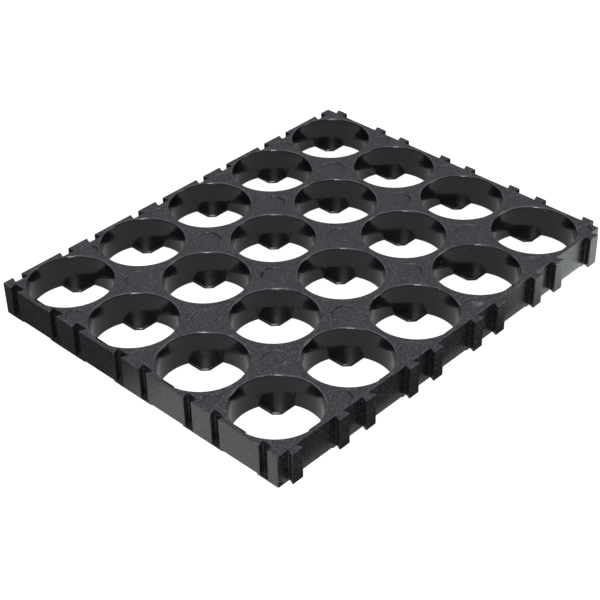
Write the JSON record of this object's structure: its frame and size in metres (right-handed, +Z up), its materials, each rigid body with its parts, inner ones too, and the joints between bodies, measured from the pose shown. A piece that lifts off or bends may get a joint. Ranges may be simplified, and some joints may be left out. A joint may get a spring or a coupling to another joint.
{
  "type": "battery cell holder bracket",
  "caption": "Flat rectangular plate with a grid of round pockets that hold cylindrical battery cells, with corner tabs below and dovetail edges that lock plates side by side.",
  "frame": {"origin": "underside, below the centre of the whole plate with its tongues", "axes": "+Z up, out of the pockets' mouths; +X along the longer side, towards the side with tongues; -Y towards the other side with tongues"},
  "size_m": [0.1028, 0.0826, 0.0076],
  "materials": {
    "black_plastic": "satin black moulded plastic with a fine grain"
  },
  "bodies": {
    "root": {"cell_holder": "black_plastic"}
  },
  "joints": []
}
